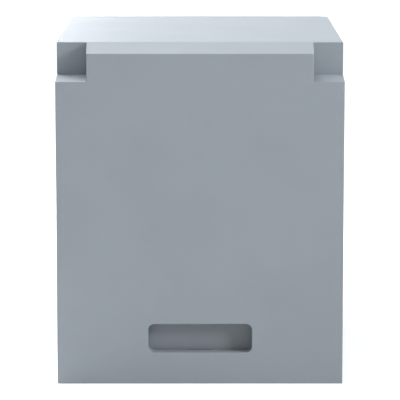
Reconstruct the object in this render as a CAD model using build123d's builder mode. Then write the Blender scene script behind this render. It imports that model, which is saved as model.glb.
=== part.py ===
from build123d import *
import os
from math import radians, tan

# An insulated beehive of rigid foam panels, in millimetres. A deep brood box stands on an open
# mesh floor with a drawer below it. Frames hang inside, under a crown board and a top feeder.
# The lid drops in behind the front wall, which stands as high as the lid and is cut away at its
# two corners, so that fingers reach the lid there. A shutter closes the entrance from inside.
# X runs to the right, Y to the back and Z up, from the middle of the underside.

# Casing
hive_width = 470
hive_depth = 584
hive_height = 560
lid_thickness = 53.5
side_wall_thickness = 47.5
back_wall_thickness = 41.5
upstand_thickness = 56  # the front wall beside the lid
upstand_fall = 14  # its top slopes down to the front by this
lid_ledge = 12  # the lid's seat between the upstand and the mouth
rebate_width = 9.5  # the step that the frames' lugs reach over, front and back
grip_width = 50.6  # each corner cut-out, at the front
grip_draft = 1.4  # degrees, so that the cut-outs are narrower at the lid
grip_fall = 6  # their floors slope down to the front by this
back_corner_radius = 21
edge_radius = 1.2

# Tongues and grooves between the panels
tongue_width = 16
tongue_depth = 12
tongue_drop = 30  # the tongues stop this far below the lid's seat
floor_tongue_height = 14
floor_tongue_depth = 8
floor_tongue_rise = 16
panel_fit = 0.3

# Lid
lid_gap = 0.5
lid_rim_depth = 12
lid_rim_width = 26
lid_rim_clearance = 1.5
lid_rim_radius = 6
lid_recess_depth = 13.5
lid_edge_radius = 1.5

# Entrance
recess_width = 170.5
recess_height = 47.8
recess_depth = 23
recess_radius = 10
recess_rise = 6.2  # above the floor panel
shutter_thickness = 3
shutter_lap = 3.2
nail_groove_width = 40
nail_groove_height = 1.2
nail_groove_depth = 0.8
track_clearance = 0.25
cassette_rail = 10
cassette_header = 5
cassette_web = 3
passage_rise = 8
passage_height = 22
passage_inset = 10
passage_radius = 4
shutter_overtravel = 0.5

# Floor, mesh and drawer
floor_thickness = 46
floor_side_margin = 37.5
floor_front_margin = 34.5
floor_back_margin = 40.5
mesh_thickness = 0.8
clamp_width = 15
clamp_height = 5
clamp_radius = 10
channel_rise = 14
channel_height = 20
channel_lap = 18  # each side of the floor's opening
channel_end_gap = 2
drawer_runner_sheet = 1.5
drawer_runner_gap = 0.5
drawer_height = 12
drawer_wall = 2
drawer_clearance = 1
drawer_front_thickness = 20
drawer_setback = 1
pull_width = 96
pull_height = 9
pull_depth = 12

# Frames
frame_pitch = 35
frame_gap = 0.6
least_side_space = 8
end_space = 8.65
bottom_space = 32.2
top_bar_width = 27
top_bar_depth = 19
lug_thickness = 10
lug_clearance = 0.7
side_bar_thickness = 9.5
side_bar_foot = 25.4
shoulder_height = 95
shoulder_taper = 18
top_notch = 2.5
bottom_bar_width = 19
bottom_bar_depth = 10
bar_fit = 0.1
foundation_thickness = 3
foundation_fit = 0.15
top_groove_depth = 6
bottom_groove_depth = 4
rail_height = 8
rail_sheet = 1
rail_end_gap = 0.5

# Crown board, its cleats and the feeder
bee_space = 8
crown_thickness = 10
board_clearance = 1
cleat_width = 8
cleat_height = 10
feeder_height = 100
feeder_headroom = 6.5
feeder_clearance = 1
feeder_flange = 7
feeder_flange_thickness = 3
feeder_wall = 3
feeder_draft = 1.5  # degrees
feeder_radius = 18
tower_length = 150
tower_width = 30
tower_height = 74
tower_wall = 3
tower_radius = 8
hood_gap = 9
hood_headroom = 16
hood_wall = 2
hood_foot_width = 9
hood_foot_height = 6
hood_feet_pitch = 18

# Screws
screw_radius = 1.7
screw_sides = 12  # both the head and the shank are drawn with this many sides
screw_head_radius = 3.5
screw_head_height = 2
screw_head_taper = 20  # degrees
screw_hole_fit = 0.1
screw_pocket_fit = 0.5
screw_hold = 10  # how far each screw bites into the foam
screw_end_margin = 42

# Levels and faces that follow from those sizes
front_face = -hive_depth / 2
back_face = hive_depth / 2
side_face = hive_width / 2
seat_height = hive_height - lid_thickness
upstand_back = front_face + upstand_thickness
mouth_front = upstand_back + lid_ledge
brood_front = mouth_front + rebate_width
brood_back = back_face - back_wall_thickness
mouth_back = brood_back + rebate_width
inside_width = hive_width - 2 * side_wall_thickness
inside_half = inside_width / 2
brood_length = brood_back - brood_front
mouth_length = mouth_back - mouth_front
middle = (brood_front + brood_back) / 2
tongue_top = seat_height - tongue_drop
wall_tongue_x = inside_half + side_wall_thickness / 2
wall_tongue_spots = [(-wall_tongue_x, brood_front), (wall_tongue_x, brood_front)]
back_tongue_y = (brood_back + back_face) / 2

feeder_foot = seat_height - lid_rim_depth - feeder_headroom - feeder_height
crown_bottom = feeder_foot - crown_thickness
frame_top = crown_bottom - bee_space
lug_bottom = frame_top - lug_thickness
rebate_floor = lug_bottom - rail_height
clamp_bottom = floor_thickness + mesh_thickness
clamp_top = clamp_bottom + clamp_height
frame_bottom = clamp_top + bottom_space

recess_bottom = floor_thickness + recess_rise
recess_back = front_face + recess_depth
shutter_width = recess_width + 2 * shutter_lap
shutter_height = recess_height + 2 * shutter_lap
shutter_bottom = recess_bottom - shutter_lap
passage_bottom = floor_thickness + passage_rise
passage_width = recess_width - 2 * passage_inset
shutter_travel = passage_bottom + passage_height - shutter_bottom + shutter_overtravel
cassette_width = shutter_width + 2 * (track_clearance + cassette_rail)
cassette_top = shutter_bottom + shutter_height + shutter_travel + track_clearance + cassette_header
cassette_bottom = floor_thickness + panel_fit
cassette_height = cassette_top - cassette_bottom
track_back = recess_back + shutter_thickness + 2 * track_clearance
cassette_back = track_back + cassette_web

opening_width = inside_width - 2 * floor_side_margin
opening_front = brood_front + floor_front_margin
opening_back = brood_back - floor_back_margin
opening_length = opening_back - opening_front
opening_middle = (opening_front + opening_back) / 2
channel_width = opening_width + 2 * channel_lap
channel_front = opening_front - channel_end_gap
drawer_width = channel_width - 2 * (drawer_runner_sheet + drawer_clearance)
drawer_bottom = channel_rise + drawer_runner_sheet
drawer_back = back_face - drawer_setback
tray_front = channel_front + channel_end_gap

frame_count = int((inside_width - 2 * least_side_space) // frame_pitch)
top_bar_length = mouth_length - 2 * lug_clearance
frame_length = brood_length - 2 * end_space

board_width = inside_width - 2 * board_clearance
board_length = mouth_length - 2 * board_clearance
tower_inner_length = tower_length - 2 * tower_wall
tower_inner_width = tower_width - 2 * tower_wall
mouth_middle = (mouth_front + mouth_back) / 2


def save(piece, name):
    """Name a finished piece and write its file."""
    piece.part.label = name
    export_step(piece.part, f"parts/{name}.step")


def level(height):
    """A horizontal plane at a height."""
    return Plane.XY.offset(height)


def upright(y):
    """A plane across the hive at y, with X to the right and Z up."""
    return Plane.XZ.offset(-y)


# Where the screws stand: each entry is a plane that the heads sit on and the spots in it
rail_screw_x = inside_half - screw_end_margin
clamp_half_width = opening_width / 2 + clamp_width / 2
clamp_half_length = opening_length / 2 + clamp_width / 2
clamp_screw_plane = level(clamp_top)
clamp_screw_spots = [
    (x, opening_middle + y)
    for x in (-clamp_half_width, clamp_half_width)
    for y in (-clamp_half_length, 0, clamp_half_length)
]
rail_screw_plane = level(rebate_floor + rail_sheet)
rail_screw_inset = (rebate_width - rail_sheet) / 2
rail_screw_spots = {
    "front": [(x, mouth_front + rail_screw_inset) for x in (-rail_screw_x, rail_screw_x)],
    "back": [(x, mouth_back - rail_screw_inset) for x in (-rail_screw_x, rail_screw_x)],
}
cleat_bottom = crown_bottom - cleat_height
cleat_middle = cleat_bottom + cleat_height / 2
cleat_screw_planes = {
    side: Plane((side * (inside_half - cleat_width), middle, cleat_middle), (0, 1, 0), (-side, 0, 0))
    for side in (-1, 1)
}
cleat_screw_spots = [(y, 0) for y in (-brood_length / 3, brood_length / 3)]
cassette_screw_plane = Plane((0, cassette_back, cassette_bottom), (-1, 0, 0), (0, 1, 0))
cassette_screw_spots = [
    (x, z)
    for x in (-(cassette_width - cassette_rail) / 2, (cassette_width - cassette_rail) / 2)
    for z in (cassette_rail, cassette_height - cassette_rail)
]


def make_front_wall():
    """The full-width front panel, with the raised middle, the grips and the entrance recess."""
    with BuildPart() as front_wall:
        with BuildSketch(Plane.YZ):
            with BuildLine():
                Polyline(
                    (front_face, 0),
                    (brood_front, 0),
                    (brood_front, seat_height),
                    (upstand_back, seat_height),
                    (front_face, seat_height - grip_fall),
                    close=True,
                )
            make_face()
        extrude(amount=side_face, both=True)
        raised_front = side_face - grip_width
        raised_back = raised_front + upstand_thickness * tan(radians(grip_draft))
        with BuildSketch(level(seat_height - grip_fall)):
            with BuildLine():
                Polyline(
                    (-raised_front, front_face),
                    (raised_front, front_face),
                    (raised_back, upstand_back),
                    (-raised_back, upstand_back),
                    close=True,
                )
            make_face()
        extrude(amount=lid_thickness + grip_fall)
        with BuildSketch(Plane.YZ):
            with BuildLine():
                Polyline(
                    (front_face, hive_height - upstand_fall),
                    (upstand_back, hive_height),
                    (front_face, hive_height),
                    close=True,
                )
            make_face()
        extrude(amount=side_face, both=True, mode=Mode.SUBTRACT)
        outline = front_wall.faces().filter_by(Axis.Y).sort_by(Axis.Y)[0].edges()
        fillet(outline, edge_radius)
        # The mouth, as wide as the brood box, over the rebate for the frames' lugs
        with BuildSketch(level(rebate_floor)):
            with Locations((0, brood_front - rebate_width / 2)):
                Rectangle(inside_width, rebate_width)
        extrude(amount=seat_height - rebate_floor, mode=Mode.SUBTRACT)
        # Grooves for the side walls and the floor
        with BuildSketch(level(0)):
            with Locations(*wall_tongue_spots):
                Rectangle(tongue_width + 2 * panel_fit, 2 * (tongue_depth + panel_fit))
        extrude(amount=tongue_top + panel_fit, mode=Mode.SUBTRACT)
        with BuildSketch(level(floor_tongue_rise - panel_fit)):
            with Locations((0, brood_front)):
                Rectangle(inside_width, 2 * (floor_tongue_depth + panel_fit))
        extrude(amount=floor_tongue_height + 2 * panel_fit, mode=Mode.SUBTRACT)
        # The recess in front, and the pocket that takes the shutter's cassette from inside
        with BuildSketch(upright(brood_front)):
            with Locations((0, (floor_thickness + cassette_top + panel_fit) / 2)):
                Rectangle(cassette_width + 2 * panel_fit, cassette_top + panel_fit - floor_thickness)
        extrude(amount=brood_front - recess_back, mode=Mode.SUBTRACT)
        with BuildSketch(upright(front_face)):
            with Locations((0, recess_bottom + recess_height / 2)):
                RectangleRounded(recess_width, recess_height, recess_radius)
        extrude(amount=-recess_depth, mode=Mode.SUBTRACT)
        rim = front_wall.faces().filter_by(Axis.Y).sort_by(Axis.Y)[0].inner_wires()[0].edges()
        fillet(rim, edge_radius)
    save(front_wall, "front_wall")


def make_side_wall(name, side):
    """A side panel, which carries its rounded back corner. Side is -1 on the left, 1 on the right."""
    with BuildPart() as side_wall:
        with BuildSketch() as plan:
            with Locations((side * wall_tongue_x, (brood_front + back_face) / 2)):
                Rectangle(side_wall_thickness, back_face - brood_front)
            corner = plan.vertices().sort_by_distance((side * side_face, back_face, 0))[0]
            fillet(corner, back_corner_radius)
        extrude(amount=seat_height)
        outer_edges = (
            side_wall.edges()
            .filter_by_position(Axis.Z, 0, 0)
            .filter_by(lambda edge: abs(edge.center().X) > side_face - back_corner_radius)
        )
        fillet(outer_edges.filter_by(Axis.Y), edge_radius)
        with BuildSketch(level(0)):
            with Locations((side * wall_tongue_x, brood_front)):
                Rectangle(tongue_width, 2 * tongue_depth)
        extrude(amount=tongue_top)
        # Grooves for the back wall and the floor, in the inner face
        with BuildSketch(level(0)):
            with Locations((side * inside_half, back_tongue_y)):
                Rectangle(2 * (floor_tongue_depth + panel_fit), tongue_width + 2 * panel_fit)
        extrude(amount=tongue_top + panel_fit, mode=Mode.SUBTRACT)
        with BuildSketch(level(floor_tongue_rise - panel_fit)):
            with Locations((side * inside_half, middle)):
                Rectangle(2 * (floor_tongue_depth + panel_fit), brood_length)
        extrude(amount=floor_tongue_height + 2 * panel_fit, mode=Mode.SUBTRACT)
    save(side_wall, name)


def make_back_wall():
    """The back panel between the side walls, with the drawer's slot through its foot."""
    with BuildPart() as back_wall:
        with BuildSketch(Plane.YZ):
            with BuildLine():
                Polyline(
                    (brood_back, 0),
                    (back_face, 0),
                    (back_face, seat_height),
                    (mouth_back, seat_height),
                    (mouth_back, rebate_floor),
                    (brood_back, rebate_floor),
                    close=True,
                )
            make_face()
        extrude(amount=inside_half, both=True)
        with BuildSketch(level(0)):
            with Locations((0, back_tongue_y)):
                Rectangle(inside_width + 2 * floor_tongue_depth, tongue_width)
        extrude(amount=tongue_top)
        with BuildSketch(level(channel_rise)):
            with Locations((0, back_tongue_y)):
                Rectangle(channel_width, back_wall_thickness)
        extrude(amount=channel_height, mode=Mode.SUBTRACT)
    save(back_wall, "back_wall")


def make_floor_panel():
    """The floor, with its mesh opening and the drawer's channel cut across it to the back."""
    with BuildPart() as floor_panel:
        with BuildSketch(level(0)):
            with Locations((0, middle)):
                Rectangle(inside_width, brood_length)
            with Locations((0, opening_middle)):
                Rectangle(opening_width, opening_length, mode=Mode.SUBTRACT)
        extrude(amount=floor_thickness)
        with BuildSketch(level(floor_tongue_rise)):
            with Locations((0, brood_front + floor_tongue_depth)):
                Rectangle(inside_width - 2 * panel_fit, 4 * floor_tongue_depth)
            with Locations((-inside_half, middle), (inside_half, middle)):
                Rectangle(2 * floor_tongue_depth, brood_length - 2 * panel_fit)
        extrude(amount=floor_tongue_height)
        with BuildSketch(level(channel_rise)):
            with Locations((0, (channel_front + brood_back) / 2)):
                Rectangle(channel_width, brood_back - channel_front)
        extrude(amount=channel_height, mode=Mode.SUBTRACT)
    save(floor_panel, "floor_panel")


def make_floor_mesh():
    """The woven mesh over the floor's opening, as one thin sheet. Its screws part the wires."""
    with BuildPart() as floor_mesh:
        with BuildSketch(level(floor_thickness)):
            with Locations((0, opening_middle)):
                Rectangle(opening_width + 2 * clamp_width, opening_length + 2 * clamp_width)
        extrude(amount=mesh_thickness)
    save(floor_mesh, "floor_mesh")


def make_mesh_clamp():
    """The frame that clamps the mesh's border to the floor."""
    with BuildPart() as mesh_clamp:
        with BuildSketch(level(clamp_bottom)):
            with Locations((0, opening_middle)):
                Rectangle(opening_width + 2 * clamp_width, opening_length + 2 * clamp_width)
                RectangleRounded(opening_width, opening_length, clamp_radius, mode=Mode.SUBTRACT)
            with Locations(*clamp_screw_spots):
                Circle(screw_radius + screw_hole_fit, mode=Mode.SUBTRACT)
        extrude(amount=clamp_height)
    save(mesh_clamp, "mesh_clamp")


def make_drawer_runner(name, side):
    """An angle that lines one side of the drawer's channel and carries the drawer."""
    wall = side * channel_width / 2
    lip = side * (opening_width / 2 + drawer_runner_gap)
    web = wall - side * drawer_runner_sheet
    runner_top = channel_rise + channel_height - drawer_runner_gap
    with BuildPart() as runner:
        with BuildSketch(upright(brood_back)):
            with BuildLine():
                Polyline(
                    (lip, channel_rise),
                    (wall, channel_rise),
                    (wall, runner_top),
                    (web, runner_top),
                    (web, drawer_bottom),
                    (lip, drawer_bottom),
                    close=True,
                )
            make_face()
        extrude(amount=brood_back - channel_front)
    save(runner, name)


def make_varroa_board():
    """The sheet under the drawer's walls, which catches the debris."""
    plate_front = drawer_back - drawer_front_thickness
    with BuildPart() as sheet:
        with BuildSketch(level(drawer_bottom)):
            with Locations((0, (tray_front + plate_front) / 2)):
                Rectangle(drawer_width, plate_front - tray_front)
        extrude(amount=drawer_wall)
    save(sheet, "varroa_board")


def make_varroa_drawer():
    """The inspection drawer: low walls on the sheet, behind a front plate with a finger pull."""
    with BuildPart() as drawer:
        plate_front = drawer_back - drawer_front_thickness
        with BuildSketch(level(drawer_bottom + drawer_wall)):
            with Locations((0, (tray_front + plate_front) / 2)):
                Rectangle(drawer_width, plate_front - tray_front)
                Rectangle(
                    drawer_width - 2 * drawer_wall,
                    plate_front - tray_front - 2 * drawer_wall,
                    mode=Mode.SUBTRACT,
                )
        extrude(amount=drawer_height - drawer_wall)
        plate_height = channel_rise + channel_height - drawer_clearance - drawer_bottom
        with BuildSketch(upright(drawer_back)):
            with Locations((0, drawer_bottom + plate_height / 2)):
                Rectangle(drawer_width, plate_height)
        extrude(amount=drawer_front_thickness)
        with BuildSketch(upright(drawer_back)):
            with Locations((0, drawer_bottom + plate_height / 2)):
                SlotOverall(pull_width, pull_height)
        extrude(amount=pull_depth, mode=Mode.SUBTRACT)
    save(drawer, "varroa_drawer")


def make_entrance_shutter():
    """The plate that closes the entrance from behind, with a nail groove along its foot."""
    with BuildPart() as shutter:
        with BuildSketch(upright(recess_back + track_clearance)):
            with Locations((0, shutter_bottom + shutter_height / 2)):
                Rectangle(shutter_width, shutter_height)
        extrude(amount=-shutter_thickness)
        with BuildSketch(upright(recess_back + track_clearance)):
            with Locations((0, recess_bottom + nail_groove_height / 2)):
                Rectangle(nail_groove_width, nail_groove_height)
        extrude(amount=-nail_groove_depth, mode=Mode.SUBTRACT)
    save(shutter, "entrance_shutter")


def make_entrance_cassette():
    """The shutter's tracks, header and sill, on a web with the bees' opening through it."""
    with BuildPart() as cassette:
        with BuildSketch(upright(cassette_back)):
            with Locations((0, cassette_bottom + cassette_height / 2)):
                Rectangle(cassette_width, cassette_height)
        extrude(amount=cassette_back - recess_back)
        track_top = cassette_top - cassette_header
        track_bottom = shutter_bottom
        with BuildSketch(upright(recess_back)):
            with Locations((0, (track_top + track_bottom) / 2)):
                Rectangle(shutter_width + 2 * track_clearance, track_top - track_bottom)
        extrude(amount=recess_back - track_back, mode=Mode.SUBTRACT)
        with BuildSketch(upright(cassette_back)):
            with Locations((0, passage_bottom + passage_height / 2)):
                RectangleRounded(passage_width, passage_height, passage_radius)
        extrude(amount=cassette_web, mode=Mode.SUBTRACT)
        with BuildSketch(cassette_screw_plane):
            with Locations(*cassette_screw_spots):
                Circle(screw_radius + screw_hole_fit)
        extrude(amount=recess_back - cassette_back, mode=Mode.SUBTRACT)
    save(cassette, "entrance_cassette")


def make_entrance_block():
    """The foam block behind the cassette, with the bees' passage through it."""
    with BuildPart() as block:
        with BuildSketch(upright(brood_front)):
            with Locations((0, cassette_bottom + cassette_height / 2)):
                Rectangle(cassette_width, cassette_height)
            with Locations((0, passage_bottom + passage_height / 2)):
                RectangleRounded(passage_width, passage_height, passage_radius, mode=Mode.SUBTRACT)
        extrude(amount=brood_front - cassette_back)
        with BuildSketch(cassette_screw_plane):
            with Locations(*cassette_screw_spots):
                Rectangle(*2 * [2 * (screw_head_radius + screw_pocket_fit)])
        extrude(amount=screw_head_height + screw_pocket_fit, mode=Mode.SUBTRACT)
    save(block, "entrance_block")


def make_frame_rail(end):
    """The folded strip in one rebate. Its thin upright edge carries the frames' lugs."""
    inward = 1 if end == "front" else -1
    mouth = mouth_front if end == "front" else mouth_back
    corner = mouth + inward * rebate_width
    with BuildPart() as rail:
        with BuildSketch(Plane.YZ):
            with BuildLine():
                Polyline(
                    (mouth + inward * rail_sheet, rebate_floor),
                    (corner, rebate_floor),
                    (corner, lug_bottom),
                    (corner - inward * rail_sheet, lug_bottom),
                    (corner - inward * rail_sheet, rebate_floor + rail_sheet),
                    (mouth + inward * rail_sheet, rebate_floor + rail_sheet),
                    close=True,
                )
            make_face()
        extrude(amount=inside_half - rail_end_gap, both=True)
        with BuildSketch(rail_screw_plane):
            with Locations(*rail_screw_spots[end]):
                Circle(screw_radius + screw_hole_fit)
        extrude(amount=-rail_sheet, mode=Mode.SUBTRACT)
    save(rail, f"frame_rail_{end}")


def make_top_bar():
    """The bar that the frame hangs from: lugs, side bar notches and the foundation's groove."""
    with BuildSketch(Plane.YZ) as side_view:
        with BuildLine():
            Polyline(
                (middle - top_bar_length / 2, frame_top),
                (middle + top_bar_length / 2, frame_top),
                (middle + top_bar_length / 2, lug_bottom),
                (middle + frame_length / 2, lug_bottom),
                (middle + frame_length / 2, frame_top - top_bar_depth),
                (middle - frame_length / 2, frame_top - top_bar_depth),
                (middle - frame_length / 2, lug_bottom),
                (middle - top_bar_length / 2, lug_bottom),
                close=True,
            )
        make_face()
    extrude(side_view.sketch, amount=top_bar_width / 2, both=True)
    notch_y = (frame_length - side_bar_thickness) / 2
    with BuildSketch(level(frame_top - top_bar_depth)) as notches:
        with Locations((0, middle)):
            with GridLocations(top_bar_width, 2 * notch_y, 2, 2):
                Rectangle(2 * top_notch, side_bar_thickness + 2 * bar_fit)
    extrude(notches.sketch, amount=top_bar_depth - lug_thickness, mode=Mode.SUBTRACT)
    with BuildSketch(level(frame_top - top_bar_depth)) as groove:
        with Locations((0, middle)):
            Rectangle(foundation_thickness + 2 * foundation_fit, frame_length - 2 * side_bar_thickness)
    extrude(groove.sketch, amount=top_groove_depth, mode=Mode.SUBTRACT)


def make_side_bars():
    """The two end bars: wide shoulders that space the frames, forked over the bars they hold."""
    wide = (frame_pitch - frame_gap) / 2
    narrow = side_bar_foot / 2
    fork = top_bar_width / 2 - top_notch + bar_fit
    foot_fork = bottom_bar_width / 2 + bar_fit
    top = lug_bottom - bar_fit
    shoulder = top - shoulder_height
    for outer in (middle - frame_length / 2, middle + frame_length / 2 - side_bar_thickness):
        with BuildSketch(upright(outer)) as outline:
            with BuildLine():
                Polyline(
                    (0, frame_top - top_bar_depth - bar_fit),
                    (fork, frame_top - top_bar_depth - bar_fit),
                    (fork, top),
                    (wide, top),
                    (wide, shoulder),
                    (narrow, shoulder - shoulder_taper),
                    (narrow, frame_bottom),
                    (foot_fork, frame_bottom),
                    (foot_fork, frame_bottom + bottom_bar_depth + bar_fit),
                    (0, frame_bottom + bottom_bar_depth + bar_fit),
                )
                mirror(about=Plane.YZ)
            make_face()
        extrude(outline.sketch, amount=-side_bar_thickness)


def make_bottom_bar():
    """The bar along the foot of the frame, grooved for the foundation."""
    with BuildSketch(level(frame_bottom)) as bar:
        with Locations((0, middle)):
            Rectangle(bottom_bar_width, frame_length)
    extrude(bar.sketch, amount=bottom_bar_depth)
    with BuildSketch(level(frame_bottom + bottom_bar_depth)) as groove:
        with Locations((0, middle)):
            Rectangle(foundation_thickness + 2 * foundation_fit, frame_length - 2 * side_bar_thickness)
    extrude(groove.sketch, amount=-bottom_groove_depth, mode=Mode.SUBTRACT)


def make_frames():
    """The hanging frames, each of four bars round a sheet of wax foundation."""
    with BuildPart() as frame:
        make_top_bar()
        make_side_bars()
        make_bottom_bar()
    sheet_bottom = frame_bottom + bottom_bar_depth - bottom_groove_depth + foundation_fit
    sheet_top = frame_top - top_bar_depth + top_groove_depth - foundation_fit
    with BuildPart() as foundation:
        with BuildSketch(level(sheet_bottom)):
            with Locations((0, middle)):
                Rectangle(
                    foundation_thickness,
                    frame_length - 2 * side_bar_thickness - 2 * foundation_fit,
                )
        extrude(amount=sheet_top - sheet_bottom)
    for number in range(frame_count):
        x = (number - (frame_count - 1) / 2) * frame_pitch
        with BuildPart() as hung_frame:
            with Locations((x, 0, 0)):
                add(frame.part)
        save(hung_frame, f"frame_{number + 1:02d}")
        with BuildPart() as hung_foundation:
            with Locations((x, 0, 0)):
                add(foundation.part)
        save(hung_foundation, f"foundation_{number + 1:02d}")


def make_crown_cleat(name, side):
    """The strip on one side wall that carries the crown board."""
    with BuildPart() as cleat:
        with BuildSketch(level(cleat_bottom)):
            with Locations((side * (inside_half - cleat_width / 2), middle)):
                Rectangle(cleat_width, brood_length - 2 * board_clearance)
        extrude(amount=cleat_height)
    save(cleat, name)


def make_crown_board():
    """The board over the frames, with the bees' slot up to the feeder."""
    with BuildPart() as crown_board:
        with BuildSketch(level(crown_bottom)):
            with Locations((0, mouth_middle)):
                Rectangle(board_width, board_length)
                RectangleRounded(
                    tower_inner_length, tower_inner_width, tower_radius - tower_wall, mode=Mode.SUBTRACT
                )
        extrude(amount=crown_thickness)
    save(crown_board, "crown_board")


def make_top_feeder():
    """A moulded syrup tub with a rim flange and the tower that the bees climb."""
    tub_length = mouth_length - 2 * feeder_clearance
    tub_width = inside_width - 2 * feeder_clearance
    slope = tan(radians(feeder_draft))
    inset = feeder_flange + feeder_height * slope
    inner_inset = inset + feeder_wall - feeder_wall * slope
    with BuildPart() as feeder:
        with BuildSketch(level(feeder_foot)):
            with Locations((0, mouth_middle)):
                RectangleRounded(tub_width - 2 * inset, tub_length - 2 * inset, feeder_radius)
        extrude(amount=feeder_height, taper=-feeder_draft)
        with BuildSketch(level(feeder_foot + feeder_wall)):
            with Locations((0, mouth_middle)):
                RectangleRounded(
                    tub_width - 2 * inner_inset,
                    tub_length - 2 * inner_inset,
                    feeder_radius - feeder_wall,
                )
        extrude(amount=feeder_height - feeder_wall, taper=-feeder_draft, mode=Mode.SUBTRACT)
        flange_bottom = feeder_foot + feeder_height - feeder_flange_thickness
        with BuildSketch(level(flange_bottom)):
            with Locations((0, mouth_middle)):
                RectangleRounded(tub_width, tub_length, feeder_radius)
                RectangleRounded(
                    tub_width - 2 * (feeder_flange + feeder_wall / 2),
                    tub_length - 2 * (feeder_flange + feeder_wall / 2),
                    feeder_radius,
                    mode=Mode.SUBTRACT,
                )
        extrude(amount=feeder_flange_thickness)
        with BuildSketch(level(feeder_foot)):
            with Locations((0, mouth_middle)):
                RectangleRounded(tower_length, tower_width, tower_radius)
        extrude(amount=tower_height)
        with BuildSketch(level(feeder_foot)):
            with Locations((0, mouth_middle)):
                RectangleRounded(tower_inner_length, tower_inner_width, tower_radius - tower_wall)
        extrude(amount=tower_height, mode=Mode.SUBTRACT)
    save(feeder, "top_feeder")


def make_feeder_hood():
    """The clear hood over the tower, standing in the syrup on feet with gaps between them."""
    hood_length = tower_length + 2 * (hood_gap + hood_wall)
    hood_width = tower_width + 2 * (hood_gap + hood_wall)
    hood_foot = feeder_foot + feeder_wall
    hood_height = tower_height + hood_headroom - feeder_wall
    with BuildPart() as hood:
        with BuildSketch(level(hood_foot)):
            with Locations((0, mouth_middle)):
                RectangleRounded(hood_length, hood_width, tower_radius + hood_gap)
        extrude(amount=hood_height)
        chamfer(hood.edges().group_by(Axis.Z)[-1], 2 * hood_wall)
        offset(amount=-hood_wall, openings=hood.faces().sort_by(Axis.Z)[0])
        long_gaps = int((hood_length - 2 * (tower_radius + hood_gap)) // hood_feet_pitch)
        with BuildSketch(level(hood_foot)):
            with Locations((0, mouth_middle)):
                with GridLocations(hood_feet_pitch, hood_width, long_gaps, 2):
                    Rectangle(hood_feet_pitch - hood_foot_width, 4 * hood_wall)
                with GridLocations(hood_length, hood_feet_pitch, 2, 1):
                    Rectangle(4 * hood_wall, hood_feet_pitch - hood_foot_width)
        extrude(amount=hood_foot_height, mode=Mode.SUBTRACT)
    save(hood, "feeder_hood")


def make_lid():
    """The foam lid: a slab with rounded back corners and a rim that drops into the mouth."""
    lid_front = upstand_back + lid_gap
    rim_width = inside_width - 2 * lid_rim_clearance
    rim_length = mouth_length - 2 * lid_rim_clearance
    with BuildPart() as lid:
        with BuildSketch(level(seat_height)) as plan:
            with Locations((0, (lid_front + back_face) / 2)):
                Rectangle(hive_width, back_face - lid_front)
            fillet(plan.vertices().group_by(Axis.Y)[-1], back_corner_radius)
        extrude(amount=lid_thickness)
        fillet(lid.edges().group_by(Axis.Z)[-1], lid_edge_radius)
        with BuildSketch(level(seat_height - lid_rim_depth)):
            with Locations((0, mouth_middle)):
                RectangleRounded(rim_width, rim_length, lid_rim_radius)
        extrude(amount=lid_rim_depth)
        with BuildSketch(level(seat_height - lid_rim_depth)):
            with Locations((0, mouth_middle)):
                RectangleRounded(
                    rim_width - 2 * lid_rim_width, rim_length - 2 * lid_rim_width, lid_rim_radius
                )
        extrude(amount=lid_rim_depth + lid_recess_depth, mode=Mode.SUBTRACT)
    save(lid, "lid")


def make_screws(name, places, length):
    """A group of like pan-head screws. Places pairs each plane with the spots of its heads."""
    with BuildPart() as screws:
        for plane, spots in places:
            with BuildSketch(plane) as shanks:
                with Locations(*spots):
                    RegularPolygon(screw_radius, screw_sides)
            extrude(shanks.sketch, amount=-length)
            with BuildSketch(plane) as heads:
                with Locations(*spots):
                    RegularPolygon(screw_head_radius, screw_sides)
            extrude(heads.sketch, amount=screw_head_height, taper=screw_head_taper)
    save(screws, name)


def main():
    os.makedirs("parts", exist_ok=True)
    make_front_wall()
    make_side_wall("left_wall", -1)
    make_side_wall("right_wall", 1)
    make_back_wall()
    make_floor_panel()
    make_floor_mesh()
    make_mesh_clamp()
    make_drawer_runner("drawer_runner_left", -1)
    make_drawer_runner("drawer_runner_right", 1)
    make_varroa_board()
    make_varroa_drawer()
    make_entrance_shutter()
    make_entrance_cassette()
    make_entrance_block()
    make_frame_rail("front")
    make_frame_rail("back")
    make_frames()
    make_crown_cleat("crown_cleat_left", -1)
    make_crown_cleat("crown_cleat_right", 1)
    make_crown_board()
    make_top_feeder()
    make_feeder_hood()
    make_lid()
    clamp_bite = clamp_height + mesh_thickness + screw_hold
    make_screws("clamp_screws", [(clamp_screw_plane, clamp_screw_spots)], clamp_bite)
    rail_places = [(rail_screw_plane, spots) for spots in rail_screw_spots.values()]
    make_screws("rail_screws", rail_places, rail_sheet + screw_hold)
    cleat_places = [(plane, cleat_screw_spots) for plane in cleat_screw_planes.values()]
    make_screws("cleat_screws", cleat_places, cleat_width + screw_hold)
    cassette_bite = cassette_back - recess_back + screw_hold
    make_screws("cassette_screws", [(cassette_screw_plane, cassette_screw_spots)], cassette_bite)


main()
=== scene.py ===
import math

import bmesh
import bpy
from bpy.props import FloatProperty, FloatVectorProperty, IntProperty, PointerProperty
from bpy.types import Operator, Panel, PropertyGroup
from mathutils import Matrix, Vector


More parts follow.
